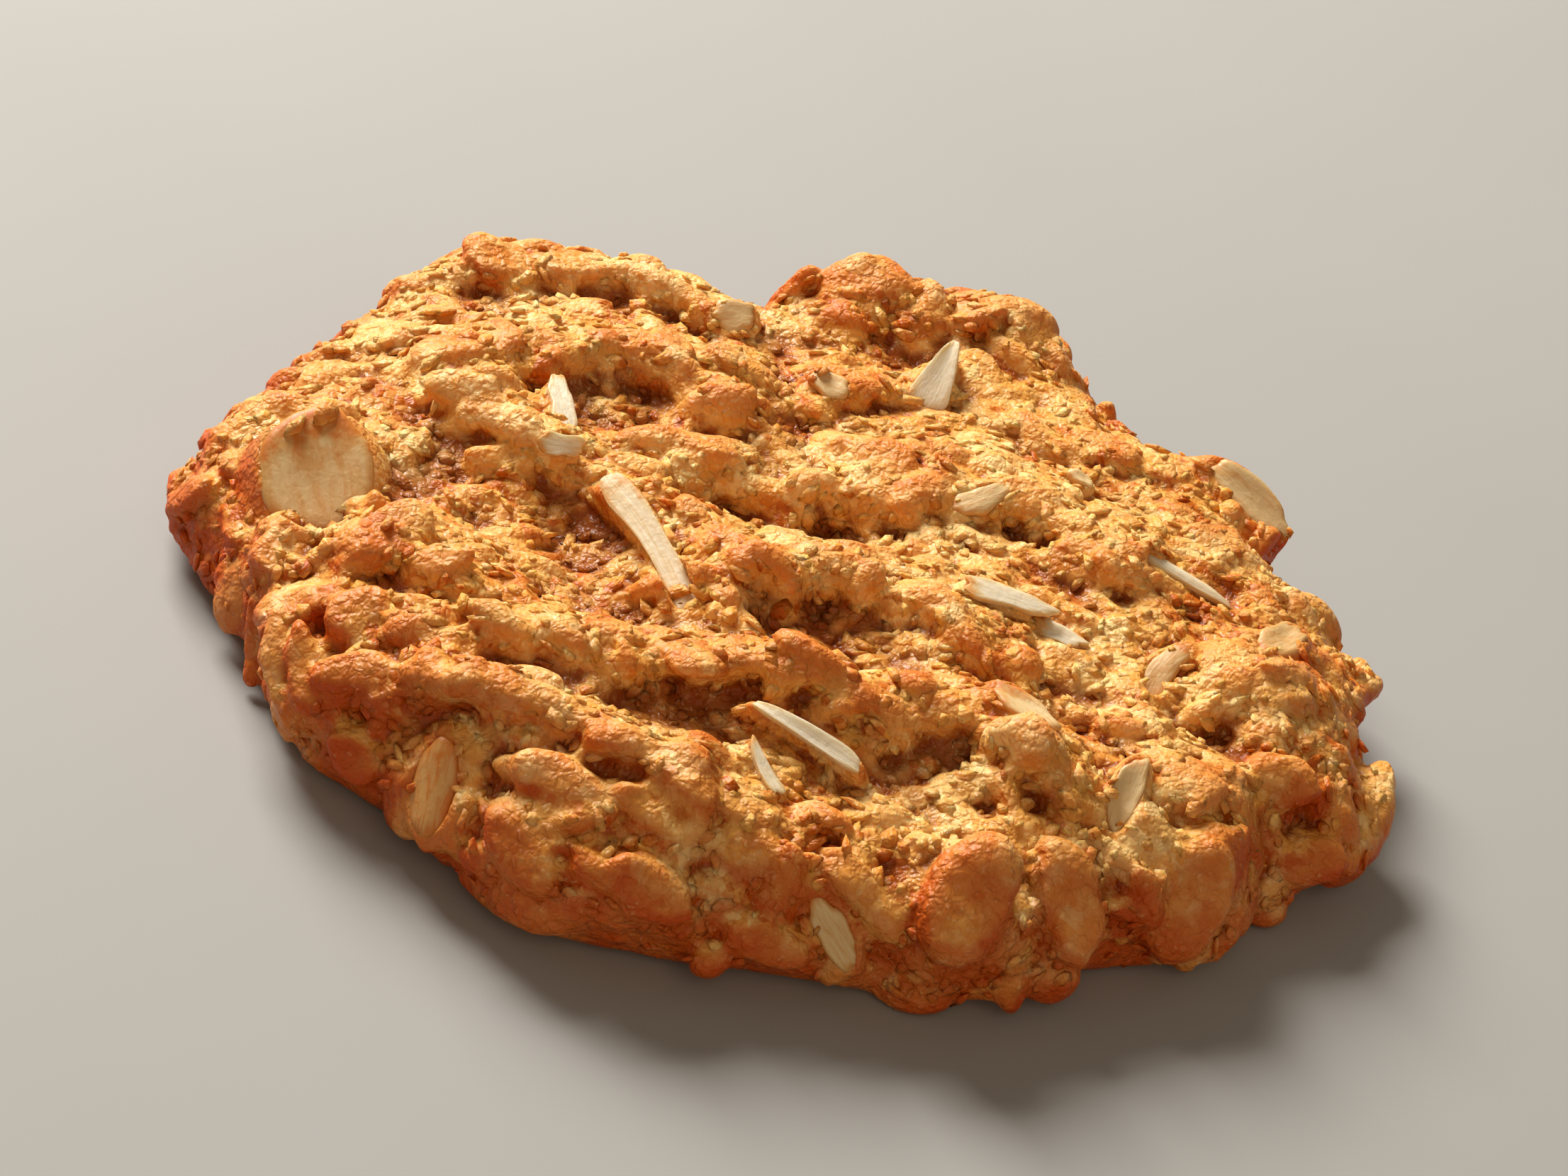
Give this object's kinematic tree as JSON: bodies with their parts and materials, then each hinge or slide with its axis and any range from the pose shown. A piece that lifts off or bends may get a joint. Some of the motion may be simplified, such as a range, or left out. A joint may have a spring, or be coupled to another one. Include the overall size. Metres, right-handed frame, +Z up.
{
  "type": "anzac biscuit",
  "caption": "Thick round oat and coconut biscuit with a flat underside, a craggy rim, folds across its top, and rolled oats and coconut shreds that stand out of the golden-brown dough.",
  "frame": {"origin": "middle of the flat underside, on the surface that the biscuit lies on", "axes": "+Z up through the biscuit's thickness, +X along its longest way across, -Y towards the side that the picture shows in front"},
  "size_m": [0.0942, 0.0874, 0.0157],
  "materials": {
    "crust": "matte",
    "oat": "matte",
    "coconut": "satin"
  },
  "bodies": {
    "root": {"biscuit": "crust"}
  },
  "joints": []
}
